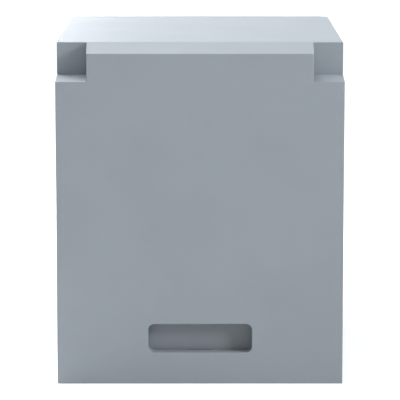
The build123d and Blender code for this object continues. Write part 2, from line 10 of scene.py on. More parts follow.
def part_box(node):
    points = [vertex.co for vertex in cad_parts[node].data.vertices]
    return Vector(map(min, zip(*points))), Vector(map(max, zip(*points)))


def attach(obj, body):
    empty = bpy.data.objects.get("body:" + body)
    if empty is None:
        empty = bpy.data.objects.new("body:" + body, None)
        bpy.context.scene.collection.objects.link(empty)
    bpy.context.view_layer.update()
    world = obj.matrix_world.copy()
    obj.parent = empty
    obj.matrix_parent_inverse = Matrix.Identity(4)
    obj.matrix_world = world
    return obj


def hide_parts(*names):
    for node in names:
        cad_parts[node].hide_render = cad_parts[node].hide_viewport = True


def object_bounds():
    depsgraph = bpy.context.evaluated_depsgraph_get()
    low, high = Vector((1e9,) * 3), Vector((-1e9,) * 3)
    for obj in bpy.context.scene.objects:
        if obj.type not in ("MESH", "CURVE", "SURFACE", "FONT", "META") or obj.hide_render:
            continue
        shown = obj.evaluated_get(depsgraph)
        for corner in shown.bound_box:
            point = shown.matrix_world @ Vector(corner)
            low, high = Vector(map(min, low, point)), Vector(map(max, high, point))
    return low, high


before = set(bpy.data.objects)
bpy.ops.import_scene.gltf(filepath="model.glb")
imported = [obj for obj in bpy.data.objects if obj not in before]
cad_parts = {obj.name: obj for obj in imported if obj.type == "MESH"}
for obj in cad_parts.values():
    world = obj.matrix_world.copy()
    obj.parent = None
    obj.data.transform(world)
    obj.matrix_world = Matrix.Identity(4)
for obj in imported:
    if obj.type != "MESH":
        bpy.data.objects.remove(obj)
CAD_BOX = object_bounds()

bl_info = {
    "name": "Insulated Beehive Finishes",
    "version": (1, 0, 0),
    "blender": (4, 5, 0),
    "location": "View3D > Sidebar > Beehive",
    "description": "Finishes, woven mesh, wax foundation and screws for a foam beehive",
    "category": "Object",
}

MM = 0.001
MERGE = 0.001 * MM  # corners nearer than this are one
NEAR = 0.01 * MM  # corners nearer to a plane than this lie on it
SCREW_HEAD = 7  # mm, across the head of every CAD screw
FRAME_NUMBERS = [name[-2:] for name in sorted(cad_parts) if name.startswith("foundation_")]


# --- Shared helpers --------------------------------------------------------------------------


def linear(hex_text):
    """The linear red, green, blue and alpha of an sRGB colour such as #939BA3."""
    levels = [int(hex_text[i : i + 2], 16) / 255 for i in (1, 3, 5)]
    return (*(v / 12.92 if v <= 0.04045 else ((v + 0.055) / 1.055) ** 2.4 for v in levels), 1)


def colour(name, description, hex_text):
    """A property for a colour."""
    return FloatVectorProperty(
        name=name, description=description, subtype="COLOR", size=4, min=0, max=1, default=linear(hex_text)
    )


def length(name, description, default_mm):
    """A property for a size, with its default in millimetres."""
    return FloatProperty(
        name=name, description=description, unit="LENGTH", min=0, precision=5, default=default_mm * MM
    )


def share(name, description, default):
    """A property for a number from 0 to 1."""
    return FloatProperty(name=name, description=description, subtype="FACTOR", min=0, max=1, default=default)


def add(tree, kind, links=None, out=0, **settings):
    """Add a node and give back one of its outputs. Links maps inputs to values or sockets."""
    new = tree.nodes.new(kind)
    for key, value in settings.items():
        setattr(new, key, value)
    for key, value in (links or {}).items():
        if isinstance(value, bpy.types.NodeSocket):
            tree.links.new(value, new.inputs[key])
        else:
            new.inputs[key].default_value = value
    return new.outputs[out] if new.outputs else None


def new_material(name):
    """An empty material: itself, its node tree and its object coordinates."""
    material = bpy.data.materials.new(name)
    material.use_nodes = True
    material.node_tree.nodes.clear()
    place = add(material.node_tree, "ShaderNodeTexCoord", out="Object")
    return material, material.node_tree, place


def shade(material, inputs):
    """Give a material its shader, with the inputs by name."""
    shader = add(material.node_tree, "ShaderNodeBsdfPrincipled", inputs)
    add(material.node_tree, "ShaderNodeOutputMaterial", {"Surface": shader})
    return material


def dress(material, *names):
    """Give CAD pieces a finish."""
    for name in names:
        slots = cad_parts[name].data.materials
        slots.clear()
        slots.append(material)


def within_box(tree, place, low, high):
    """1 at places inside a box, and 0 elsewhere."""
    axes = add(tree, "ShaderNodeSeparateXYZ", {0: place}).node.outputs
    held = 1.0
    for axis, start, end in zip(axes, low, high):
        ends = {0: axis, 1: (start + end) / 2, 2: (end - start) / 2}
        side = add(tree, "ShaderNodeMath", ends, operation="COMPARE")
        held = add(tree, "ShaderNodeMath", {0: side, 1: held}, operation="MULTIPLY")
    return held


def stretched(tree, place, sizes):
    """Coordinates whose unit is a size in metres along each axis."""
    return add(tree, "ShaderNodeVectorMath", {0: place, 1: sizes}, operation="DIVIDE")


def unit(axis):
    """A unit vector along X, Y or Z, by number."""
    return Vector([float(i == axis) for i in range(3)])


def merged_copy(node):
    """The mesh of a CAD node, copied, with its corners merged."""
    copy = bmesh.new()
    copy.from_mesh(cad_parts[node].data)
    bmesh.ops.remove_doubles(copy, verts=copy.verts, dist=MERGE)
    return copy


def cut(shape, point, normal, **settings):
    """Cut a shape's faces along a plane."""
    parts = [*shape.verts, *shape.edges, *shape.faces]
    bmesh.ops.bisect_plane(shape, geom=parts, dist=MERGE, plane_co=point, plane_no=normal, **settings)


def end_mesh(shape, name):
    """Turn a finished shape into a mesh."""
    mesh = bpy.data.meshes.new(name)
    shape.to_mesh(mesh)
    shape.free()
    return mesh


def put(name, data):
    """A new object in the scene."""
    piece = bpy.data.objects.new(name, data)
    bpy.context.scene.collection.objects.link(piece)
    return piece


def ride(piece, body, slot, *nodes):
    """Let a new piece stand for CAD nodes, which it hides, and move with a body. Slot is not used."""
    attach(piece, body)
    if nodes:
        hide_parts(*nodes)


# --- Geometry Nodes --------------------------------------------------------------------------


def new_tree(name, **inputs):
    """A Geometry Nodes tree, and the sockets of its named inputs, each given as its socket type."""
    tree = bpy.data.node_groups.new(name, "GeometryNodeTree")
    for label, kind in inputs.items():
        tree.interface.new_socket(label, in_out="INPUT", socket_type=f"NodeSocket{kind}")
    tree.interface.new_socket("Geometry", in_out="OUTPUT", socket_type="NodeSocketGeometry")
    return tree, tree.nodes.new("NodeGroupInput").outputs


def end_tree(tree, geometry, material):
    """End a tree in real geometry with its material."""
    real = add(tree, "GeometryNodeRealizeInstances", {0: geometry})
    dressed = add(tree, "GeometryNodeSetMaterial", {"Geometry": real, "Material": material})
    add(tree, "NodeGroupOutput", {0: dressed})


def lattice(tree, ways, rounding, extra):
    """A grid of points and its size each way. Ways pairs a side with a step, and extra adds steps."""
    reaches, counts = [], []
    for side, step in ways:
        steps = add(tree, "ShaderNodeMath", {0: side, 1: step}, operation="DIVIDE")
        whole = add(tree, "ShaderNodeMath", {0: steps}, operation=rounding)
        whole = add(tree, "ShaderNodeMath", {0: whole, 1: extra}, operation="ADD")
        reaches.append(add(tree, "ShaderNodeMath", {0: whole, 1: step}, operation="MULTIPLY"))
        counts.append(add(tree, "ShaderNodeMath", {0: whole, 1: 1.0}, operation="ADD"))
    size = dict(zip(("Size X", "Size Y", "Vertices X", "Vertices Y"), reaches + counts))
    return add(tree, "GeometryNodeMeshGrid", size), *reaches


def facing_turn(tree):
    """The turn that points a shape's Z the way that each point's facing says."""
    facing = add(tree, "GeometryNodeInputNamedAttribute", {"Name": "facing"}, data_type="FLOAT_VECTOR")
    return add(tree, "FunctionNodeAlignRotationToVector", {"Vector": facing}, axis="Z")


def grow(name, tree, values, start=None):
    """Run a tree once on a mesh, and keep the result as a plain object."""
    piece = put(name, start or bpy.data.meshes.new(name))
    modifier = piece.modifiers.new("grow", "NODES")
    modifier.node_group = tree
    for socket in tree.interface.items_tree:
        if socket.in_out == "INPUT" and socket.name in values:
            modifier[socket.identifier] = values[socket.name]
    graph = bpy.context.evaluated_depsgraph_get()
    mesh = bpy.data.meshes.new_from_object(piece.evaluated_get(graph), depsgraph=graph)
    mesh.materials.clear()
    mesh.materials.append(values["Material"])
    piece.modifiers.remove(modifier)
    piece.data = mesh
    return piece


# --- Foam casing -----------------------------------------------------------------------------


class HivePaint(PropertyGroup):
    """The foam panels and their coat."""

    coat: colour("Paint", "The satin acrylic outside", "#939BA3")
    thin: colour("Thin paint", "The acrylic where it lies thinner", "#9098A0")
    foam: colour("Bare foam", "The foam inside the hive", "#DCDCD8")
    joint: colour("Bead outline", "The foam where two beads meet", "#BFC0BC")
    bead: length("Bead", "Width of one foam bead", 3.6)
    seam: length("Lid seam", "How far the lid's lower edge is cut back over the walls", 1.5)
    joint_seam: length("Wall seam", "How far a wall's outer corner is cut back where two walls meet", 1)
    roughness: share("Paint roughness", "Of the satin acrylic", 0.55)


def foam(paint, painted):
    """Moulded bead foam. Bare, it is pale and dull, with every bead outlined. Outside it has
    sprayed acrylic: an even satin grey with a faint orange peel, and the beads hardly show."""
    material, tree, place = new_material("acrylic_on_moulded_foam" if painted else "bare_moulded_foam")
    beads = {"Vector": place, "Scale": 1 / paint.bead, "Randomness": 0.8}
    edges = add(tree, "ShaderNodeTexVoronoi", beads, feature="DISTANCE_TO_EDGE")
    outline = add(tree, "ShaderNodeMapRange", {0: edges, 1: 0.0, 2: 0.1, 3: 1.0, 4: 0.0})
    crown = add(tree, "ShaderNodeMapRange", {0: edges, 1: 0.0, 2: 0.28}, interpolation_type="SMOOTHSTEP")
    raw = add(tree, "ShaderNodeMix", {0: outline, 6: paint.foam, 7: paint.joint}, out=2, data_type="RGBA")
    if not painted:
        dents = add(tree, "ShaderNodeBump", {"Height": crown, "Distance": 0.15 * MM})
        return shade(material, {"Base Color": raw, "Roughness": 0.8, "Normal": dents})
    low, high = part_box("crown_board")
    margin = 1.2 * MM  # from the crown board's edge to just behind the walls' inner faces
    roof = 35 * MM  # a little less than the lid's roof, so that the underside of the lid is bare too
    inner_low = (low.x - margin, low.y - margin, 0)
    inner_high = (high.x + margin, high.y + margin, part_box("lid")[1].z - roof)
    bare = within_box(tree, place, inner_low, inner_high)
    cloud = add(tree, "ShaderNodeTexNoise", {"Vector": place, "Scale": 1 / (120 * MM), "Detail": 3.0})
    drift = add(tree, "ShaderNodeMapRange", {0: cloud, 1: 0.35, 2: 0.65})
    coat = add(tree, "ShaderNodeMix", {0: drift, 6: paint.thin, 7: paint.coat}, out=2, data_type="RGBA")
    base = add(tree, "ShaderNodeMix", {0: bare, 6: coat, 7: raw}, out=2, data_type="RGBA")
    peel = add(tree, "ShaderNodeTexNoise", {"Vector": place, "Scale": 1 / (1.8 * MM), "Detail": 1.0})
    spread = {0: peel, 1: 0.3, 2: 0.7, 3: paint.roughness - 0.03, 4: paint.roughness + 0.03}
    satin = add(tree, "ShaderNodeMapRange", spread)
    rough = add(tree, "ShaderNodeMath", {0: bare, 1: 0.4, 2: satin}, operation="MULTIPLY_ADD")
    skin = add(tree, "ShaderNodeBump", {"Height": peel, "Distance": 0.03 * MM})
    depth = add(tree, "ShaderNodeMapRange", {0: bare, 3: 0.08, 4: 1.0})
    pressed = {"Height": crown, "Distance": 0.15 * MM, "Strength": depth, "Normal": skin}
    dents = add(tree, "ShaderNodeBump", pressed)
    return shade(material, {"Base Color": base, "Roughness": rough, "Normal": dents})


def cut_back_lid(seam):
    """The lid with its lower outer edge cut back beside the walls."""
    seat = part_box("left_wall")[1].z
    middle = sum(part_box("lid"), Vector()) / 2
    lid = merged_copy("lid")
    cut(lid, unit(2) * (seat + seam), unit(2))
    lid.normal_update()
    moves = {}
    for vert in lid.verts:
        above = [face.normal for face in vert.link_faces if face.calc_center_median().z > seat + NEAR]
        # Upright faces that look away from the middle, except the one against the front wall.
        outward = [
            way for way in above if abs(way.z) < 0.1 and way.y > -0.5 and way.dot(vert.co - middle) > 0
        ]
        if outward and abs(vert.co.z - seat) < NEAR:
            moves[vert] = sum(outward, Vector()).normalized() * seam
    for vert, way in moves.items():
        vert.co -= way
    return lid


def cut_back_wall(node, along, ends, across, outside, seam):
    """A wall with the outer corners of its ends cut back. Along and across are axes by number."""
    wall = merged_copy(node)
    for end, inward in ends:
        cut(wall, unit(along) * (end + inward * seam), unit(along))
    limit = abs(outside) - seam
    for vert in wall.verts:
        at_end = any(abs(vert.co[along] - end) < NEAR for end, inward in ends)
        if at_end and vert.co[across] * outside > 0 and abs(vert.co[across]) > limit:
            vert.co[across] = math.copysign(limit, outside)
    return wall


def seamed(node, panel, coat, body):
    """Put a cut-back panel in the place of its CAD node, with flat faces that shade flat."""
    for face in panel.faces:
        face.smooth = True
    mesh = end_mesh(panel, f"seamed_{node}")
    if "custom_normal" in mesh.attributes:
        mesh.attributes.remove(mesh.attributes["custom_normal"])
    mesh.set_sharp_from_angle(angle=math.radians(30))
    mesh.materials.append(coat)
    piece = put(f"seamed_{node}", mesh)
    piece.modifiers.new("flat_faces", "WEIGHTED_NORMAL").keep_sharp = True
    ride(piece, body, "painted_foam", node)


class HIVE_OT_casing(Operator):
    """Paint the walls and the lid, open their seams, and leave the floor and entrance block bare"""

    bl_idname = "hive.casing"
    bl_label = "Finish the foam casing"

    def execute(self, context):
        paint = context.scene.hive_paint
        coat = foam(paint, True)
        dress(coat, "front_wall")
        dress(foam(paint, False), "floor_panel", "entrance_block")
        seamed("lid", cut_back_lid(paint.seam), coat, "lid")
        left, right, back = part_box("left_wall"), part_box("right_wall"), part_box("back_wall")
        front_ends = [(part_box("front_wall")[1].y, 1)]
        side_ends = [(left[1].x, 1), (right[0].x, -1)]
        for node, along, ends, across, outside in (
            ("left_wall", 1, front_ends, 0, left[0].x),
            ("right_wall", 1, front_ends, 0, right[1].x),
            ("back_wall", 0, side_ends, 1, back[1].y),
        ):
            wall = cut_back_wall(node, along, ends, across, outside, paint.joint_seam)
            seamed(node, wall, coat, "hive")
        return {"FINISHED"}


# --- Woven floor -----------------------------------------------------------------------------


class HiveCloth(PropertyGroup):
    """The woven wire floor."""

    pitch: length("Mesh pitch", "From one wire to the next", 3.6)
    wire: length("Mesh wire", "Thickness of the wire", 0.44)
    tuck: length("Mesh tuck", "How far the mesh reaches under its clamp", 8)
    steel: colour("Mesh steel", "Drawn stainless wire", "#B9BBBC")


def drawn_wire(cloth):
    """Drawn stainless steel wire: bright, with a soft shine broken by a fine drawing grain."""
    material, tree, place = new_material("drawn_stainless_wire")
    grain = add(tree, "ShaderNodeTexNoise", {"Vector": place, "Scale": 1 / (2.5 * MM), "Detail": 2.0})
    rough = add(tree, "ShaderNodeMapRange", {0: grain, 1: 0.3, 2: 0.7, 3: 0.22, 4: 0.4})
    return shade(material, {"Base Color": cloth.steel, "Metallic": 1.0, "Roughness": rough})


def wire_cloth_tree():
    """Plain weave: each wire passes over one crossing wire and under the next."""
    tree, given = new_tree(
        "wire_cloth", Width="Float", Length="Float", Pitch="Float", Wire="Float", Weave="Float",
        Centre="Vector", Material="Material",
    )
    ways = ((given["Width"], given["Pitch"]), (given["Length"], given["Pitch"]))
    crossings, width, depth = lattice(tree, ways, "FLOOR", 0.0)
    place = add(tree, "GeometryNodeInputPosition")
    corner = add(tree, "ShaderNodeCombineXYZ", {0: width, 1: depth})
    half = {0: corner, 1: (0.5, 0.5, 0.5), 2: place}
    offset = add(tree, "ShaderNodeVectorMath", half, operation="MULTIPLY_ADD")
    pitch = add(tree, "ShaderNodeCombineXYZ", {0: given["Pitch"], 1: given["Pitch"], 2: 1.0})
    cell = add(tree, "ShaderNodeVectorMath", {0: offset, 1: pitch}, operation="DIVIDE")
    parts = add(tree, "ShaderNodeSeparateXYZ", {0: cell}).node.outputs
    order = add(tree, "ShaderNodeMath", {0: parts["X"], 1: parts["Y"]}, operation="ADD")
    order = add(tree, "ShaderNodeMath", {0: order}, operation="ROUND")
    phase = add(tree, "ShaderNodeMath", {0: order, 1: math.pi}, operation="MULTIPLY")
    wave = add(tree, "ShaderNodeMath", {0: phase}, operation="COSINE")
    ends = add(tree, "GeometryNodeInputMeshEdgeVertices").node.outputs
    along = add(
        tree, "ShaderNodeVectorMath", {0: ends["Position 1"], 1: ends["Position 2"]}, operation="SUBTRACT"
    )
    along = add(tree, "ShaderNodeVectorMath", {0: along}, operation="ABSOLUTE")
    spans = add(tree, "ShaderNodeSeparateXYZ", {0: along}).node.outputs
    profile = add(tree, "GeometryNodeCurvePrimitiveCircle", {"Resolution": 4, "Radius": given["Wire"]}).node
    thin = add(tree, "GeometryNodeTransform", {"Geometry": profile.outputs[0], "Scale": (0.5, 0.5, 0.5)})
    layers = []
    for way, rise in (("X", 1.0), ("Y", -1.0)):
        other = add(tree, "FunctionNodeCompare", {0: spans[way], 1: 0.1 * MM}, operation="GREATER_THAN")
        wires = add(
            tree, "GeometryNodeDeleteGeometry", {"Geometry": crossings, "Selection": other},
            domain="EDGE", mode="EDGE_FACE",
        )
        sway = add(tree, "ShaderNodeMath", {0: wave, 1: given["Weave"]}, operation="MULTIPLY")
        sway = add(tree, "ShaderNodeMath", {0: sway, 1: rise}, operation="MULTIPLY")
        lift = add(tree, "ShaderNodeCombineXYZ", {2: sway})
        woven = add(tree, "GeometryNodeSetPosition", {"Geometry": wires, "Offset": lift})
        lines = add(tree, "GeometryNodeMeshToCurve", {0: woven})
        layers.append(
            add(tree, "GeometryNodeCurveToMesh", {"Curve": lines, "Profile Curve": thin, "Fill Caps": True})
        )
    both = tree.nodes.new("GeometryNodeJoinGeometry")
    for layer in layers:
        tree.links.new(layer, both.inputs[0])
    smooth = add(tree, "GeometryNodeSetShadeSmooth", {"Geometry": both.outputs[0]})
    placed = add(tree, "GeometryNodeTransform", {"Geometry": smooth, "Translation": given["Centre"]})
    end_tree(tree, placed, given["Material"])
    return tree


def frame_border():
    """The width of the clamp's frame, from its screws, which stand along its middle."""
    return 2 * (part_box("clamp_screws")[0].x + SCREW_HEAD / 2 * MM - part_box("mesh_clamp")[0].x)


class HIVE_OT_floor_mesh(Operator):
    """Weave the floor's wire mesh under its clamp"""

    bl_idname = "hive.floor_mesh"
    bl_label = "Weave the floor mesh"

    def execute(self, context):
        cloth = context.scene.hive_cloth
        low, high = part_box("floor_mesh")
        border = frame_border() - cloth.tuck
        sizes = {
            "Width": high.x - low.x - 2 * border, "Length": high.y - low.y - 2 * border,
            "Pitch": cloth.pitch, "Wire": cloth.wire, "Weave": (high.z - low.z - cloth.wire) / 2,
            "Centre": (low + high) / 2, "Material": drawn_wire(cloth),
        }
        ride(grow("woven_floor", wire_cloth_tree(), sizes), "hive", "steel_mesh", "floor_mesh")
        return {"FINISHED"}


# --- Wax foundation --------------------------------------------------------------------------


class HiveWax(PropertyGroup):
    """The milled foundation sheets."""

    cell: length("Cell", "Across the flats of one cell", 5.4)
    depth: length("Cell depth", "How deep a cell's base is pressed", 0.8)
    wax: colour("Wax", "Fresh milled beeswax", "#E3B04B")
    bloom: colour("Wax bloom", "The paler film on old ridges", "#EBC67A")


def milled_wax(sheet):
    """Milled beeswax: a warm, slightly clear yellow with a soft shine, clouded by a paler bloom."""
    material, tree, place = new_material("milled_beeswax")
    cloud = add(tree, "ShaderNodeTexNoise", {"Vector": place, "Scale": 1 / (35 * MM), "Detail": 4.0})
    film = add(tree, "ShaderNodeMapRange", {0: cloud, 1: 0.4, 2: 0.7})
    base = add(tree, "ShaderNodeMix", {0: film, 6: sheet.wax, 7: sheet.bloom}, out=2, data_type="RGBA")
    rough = add(tree, "ShaderNodeMapRange", {0: film, 3: 0.38, 4: 0.6})
    grit = add(tree, "ShaderNodeTexNoise", {"Vector": place, "Scale": 1 / (0.9 * MM), "Detail": 1.0})
    skin = add(tree, "ShaderNodeBump", {"Height": grit, "Distance": 0.04 * MM})
    wax = {
        "Base Color": base, "Roughness": rough, "Normal": skin,
        "Subsurface Weight": 0.15, "Subsurface Radius": (1.0, 0.6, 0.2), "Subsurface Scale": 1.5 * MM,
    }
    return shade(material, wax)


def comb_tree():
    """One face of foundation: hexagons in offset rows, each pressed down to its middle."""
    tree, given = new_tree(
        "comb_face", Width="Float", Height="Float", Cell="Float", Depth="Float", Material="Material"
    )
    row = add(tree, "ShaderNodeMath", {0: given["Cell"], 1: math.sqrt(3) / 2}, operation="MULTIPLY")
    ways = ((given["Width"], given["Cell"]), (given["Height"], row))
    spots, width, height = lattice(tree, ways, "CEIL", 2.0)
    place = add(tree, "GeometryNodeInputPosition")
    parts = add(tree, "ShaderNodeSeparateXYZ", {0: place}).node.outputs
    bottom = add(tree, "ShaderNodeMath", {0: height, 1: 0.5, 2: parts["Y"]}, operation="MULTIPLY_ADD")
    order = add(tree, "ShaderNodeMath", {0: bottom, 1: row}, operation="DIVIDE")
    order = add(tree, "ShaderNodeMath", {0: order}, operation="ROUND")
    odd = add(tree, "ShaderNodeMath", {0: order, 1: 2.0}, operation="MODULO")
    shift = add(tree, "ShaderNodeMath", {0: odd, 1: given["Cell"]}, operation="MULTIPLY")
    shift = add(tree, "ShaderNodeMath", {0: shift, 1: 0.5}, operation="MULTIPLY")
    aside = add(tree, "ShaderNodeCombineXYZ", {0: shift})
    centres = add(tree, "GeometryNodeSetPosition", {"Geometry": spots, "Offset": aside})
    radius = add(tree, "ShaderNodeMath", {0: given["Cell"], 1: 1 / math.sqrt(3)}, operation="MULTIPLY")
    rim = add(
        tree, "GeometryNodeMeshCircle", {"Vertices": 6, "Radius": radius}, fill_type="TRIANGLE_FAN"
    )
    # Only the middle corner of the hexagon lies this near to its centre.
    away = add(tree, "ShaderNodeVectorMath", {0: place}, out="Value", operation="LENGTH")
    middle = add(tree, "FunctionNodeCompare", {0: away, 1: 0.5 * MM}, operation="LESS_THAN")
    press = add(tree, "ShaderNodeMath", {0: given["Depth"], 1: -1.0}, operation="MULTIPLY")
    down = add(tree, "ShaderNodeCombineXYZ", {2: press})
    pit = add(tree, "GeometryNodeSetPosition", {"Geometry": rim, "Selection": middle, "Offset": down})
    pit = add(tree, "GeometryNodeTransform", {"Geometry": pit, "Rotation": (0, 0, math.radians(30))})
    cells = add(tree, "GeometryNodeInstanceOnPoints", {"Points": centres, "Instance": pit})
    cells = add(tree, "GeometryNodeRealizeInstances", {0: cells})
    joined = add(tree, "GeometryNodeMergeByDistance", {"Geometry": cells, "Distance": 0.05 * MM})
    end_tree(tree, joined, given["Material"])
    return tree


def close_sheet(face, width, height, thickness):
    """Trim a face to its rectangle, mirror it through the sheet and close the cut edges."""
    sheet = bmesh.new()
    sheet.from_mesh(face)
    for normal in ((1, 0, 0), (-1, 0, 0), (0, 1, 0), (0, -1, 0)):
        cut(sheet, (normal[0] * width / 2, normal[1] * height / 2, 0), normal, clear_outer=True)
    bmesh.ops.translate(sheet, verts=sheet.verts, vec=(0, 0, thickness / 2))
    front = list(sheet.verts)
    back = {v: sheet.verts.new((v.co.x, v.co.y, -v.co.z)) for v in front}
    for side in list(sheet.faces):
        sheet.faces.new([back[v] for v in reversed(side.verts)])
    for edge in [e for e in sheet.edges if e.is_boundary and e.verts[0] in back]:
        start, end = edge.link_loops[0].vert, edge.link_loops[0].link_loop_next.vert
        sheet.faces.new([end, start, back[start], back[end]])
    bmesh.ops.recalc_face_normals(sheet, faces=sheet.faces)
    sheet.to_mesh(face)
    sheet.free()


class HIVE_OT_foundation(Operator):
    """Press the cells into a wax sheet, and hang a sheet in each frame"""

    bl_idname = "hive.foundation"
    bl_label = "Press the foundation"

    def execute(self, context):
        sheet = context.scene.hive_wax
        low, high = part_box("foundation_01")
        size = high - low
        sizes = {
            "Width": size.y, "Height": size.z, "Cell": sheet.cell, "Depth": sheet.depth,
            "Material": milled_wax(sheet),
        }
        pattern = grow("foundation_pattern", comb_tree(), sizes)
        close_sheet(pattern.data, size.y, size.z, size.x)
        # The face is drawn flat, so its first axis becomes the hive's Y and its second Z.
        pattern.data.transform(Matrix(((0, 0, 1, 0), (1, 0, 0, 0), (0, 1, 0, 0), (0, 0, 0, 1))))
        for number in FRAME_NUMBERS:
            low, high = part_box(f"foundation_{number}")
            piece = put(f"pressed_foundation_{number}", pattern.data.copy())
            piece.data.transform(Matrix.Translation((low + high) / 2))
            ride(piece, f"frame_{number}", "beeswax", f"foundation_{number}")
        bpy.data.objects.remove(pattern)
        return {"FINISHED"}


# --- Screws ----------------------------------------------------------------------------------


class HiveScrews(PropertyGroup):
    """The pan-head screws."""

    head: length("Screw head", "Across the head", SCREW_HEAD)
    rise: length("Head height", "How far the head stands up", 2)
    cross: length("Cross recess", "Across the recess", 3.8)
    zinc: colour("Zinc", "Bright zinc plate", "#C6C8C9")


def zinc_plate(name, tone):
    """Bright zinc plate: a soft metal shine with a faint milky cloud from handling."""
    material, tree, place = new_material(name)
    cloud = add(tree, "ShaderNodeTexNoise", {"Vector": place, "Scale": 1 / (3 * MM), "Detail": 3.0})
    rough = add(tree, "ShaderNodeMapRange", {0: cloud, 1: 0.35, 2: 0.7, 3: 0.22, 4: 0.42})
    return shade(material, {"Base Color": tone, "Metallic": 1.0, "Roughness": rough})


def pan_head_screw(look):
    """A pan-head screw that points down from the origin, with a cross recess and a tapered tip."""
    head_sides, shank_sides = 24, 12
    shank_radius, shank_end, tip_radius, tip_end = 1.7 * MM, -7 * MM, 0.3 * MM, -10 * MM
    radius, rise, arm, slot = look.head / 2, look.rise, look.cross / 2, look.cross / 7
    rings = ((radius, 0), (radius, 0.35 * rise), (0.9 * radius, 0.75 * rise), (0.66 * radius, rise))
    screw = bmesh.new()

    def ring(size, height, count):
        turns = [2 * math.pi * n / count for n in range(count)]
        return [screw.verts.new((size * math.cos(t), size * math.sin(t), height)) for t in turns]

    def skirt(lower, upper):
        for n, vert in enumerate(lower):
            after = (n + 1) % len(lower)
            screw.faces.new([vert, lower[after], upper[after], upper[n]])

    loops = [ring(size, height, head_sides) for size, height in rings]
    for lower, upper in zip(loops, loops[1:]):
        skirt(lower, upper)
    arm_corners = ((arm, -slot), (arm, slot), (slot, slot))
    outline = []
    for c, s in ((1, 0), (0, 1), (-1, 0), (0, -1)):
        outline += [(x * c - y * s, x * s + y * c) for x, y in arm_corners]
    mouth = [screw.verts.new((x, y, rise)) for x, y in outline]
    foot = [screw.verts.new((x * 0.5, y * 0.5, 0.25 * rise)) for x, y in outline]
    skirt(mouth, foot)
    screw.faces.new(foot)
    rims = [
        screw.edges.get((vert, loop[(n + 1) % len(loop)]))
        for loop in (loops[-1], mouth) for n, vert in enumerate(loop)
    ]
    bmesh.ops.triangle_fill(screw, edges=rims, use_beauty=True)
    turned = ((shank_radius, 0), (shank_radius, shank_end), (tip_radius, tip_end))
    shank = [ring(size, height, shank_sides) for size, height in turned]
    for lower, upper in zip(shank, shank[1:]):
        skirt(lower, upper)
    screw.faces.new(shank[-1])
    screw.faces.new(shank[0])
    screw.faces.new(loops[0])
    bmesh.ops.recalc_face_normals(screw, faces=screw.faces)
    return end_mesh(screw, "pan_head_screw")


def screw_tree():
    """A screw on every point, turned to the way that its head faces."""
    tree, given = new_tree("screws", Points="Geometry", Screw="Object", Material="Material")
    shape = add(tree, "GeometryNodeObjectInfo", {"Object": given["Screw"]}, out="Geometry")
    set_down = {"Points": given["Points"], "Instance": shape, "Rotation": facing_turn(tree)}
    placed = add(tree, "GeometryNodeInstanceOnPoints", set_down)
    end_tree(tree, placed, given["Material"])
    return tree


def screw_seats(node):
    """Where each CAD screw of a group sits: the middle of its head's underside, and its facing."""
    group = merged_copy(node)
    seen, seats = set(), []
    for first in group.verts:
        if first in seen:
            continue
        seen.add(first)
        island = [first]
        for vert in island:  # the list grows while it is walked
            near = [edge.other_vert(vert) for edge in vert.link_edges]
            near = [other for other in near if other not in seen]
            seen.update(near)
            island += near
        spots = [v.co for v in island]
        low = Vector([min(s[i] for s in spots) for i in range(3)])
        high = Vector([max(s[i] for s in spots) for i in range(3)])
        middle = (low + high) / 2
        axis = max(range(3), key=lambda i: high[i] - low[i])
        # The screw's widest corner is on the underside of its head.
        wide = max(spots, key=lambda s: (s - middle - (s[axis] - middle[axis]) * unit(axis)).length)
        facing = unit(axis) * (1 if wide[axis] > middle[axis] else -1)
        seats.append((middle + facing * (wide - middle).dot(facing), facing))
    group.free()
    return seats


class HIVE_OT_screws(Operator):
    """Put cross-head screws in the clamp, the rails, the cleats and the entrance"""

    bl_idname = "hive.screws"
    bl_label = "Drive the screws"

    def execute(self, context):
        look = context.scene.hive_screws
        pattern = bpy.data.objects.new("screw_pattern", pan_head_screw(look))
        plate = zinc_plate("bright_zinc_plate", look.zinc)
        tree = screw_tree()
        for node in ("clamp_screws", "rail_screws", "cleat_screws", "cassette_screws"):
            seats = screw_seats(node)
            points = bpy.data.meshes.new(node)
            points.from_pydata([spot for spot, facing in seats], [], [])
            way = points.attributes.new("facing", "FLOAT_VECTOR", "POINT")
            way.data.foreach_set("vector", [part for spot, facing in seats for part in facing])
            values = {"Screw": pattern, "Material": plate}
            ride(grow(f"cross_head_{node}", tree, values, points), "hive", "zinc_screws", node)
        bpy.data.objects.remove(pattern)
        return {"FINISHED"}


# --- Frame wires -----------------------------------------------------------------------------


class HiveWires(PropertyGroup):
    """The wire that holds each wax sheet, its eyelets and the nails of the frame."""

    runs: IntProperty(name="Wire runs", description="Lengths of wire across each sheet", min=1, default=4)
    wire: length("Frame wire", "Thickness of the wire", 0.5)
    eyelet: length("Eyelet", "Across an eyelet's flange", 4.4)
    nail: length("Nail head", "Across a nail's head", 3.2)


WIRE, EYELET, NAIL = range(3)  # the kinds of points along a frame


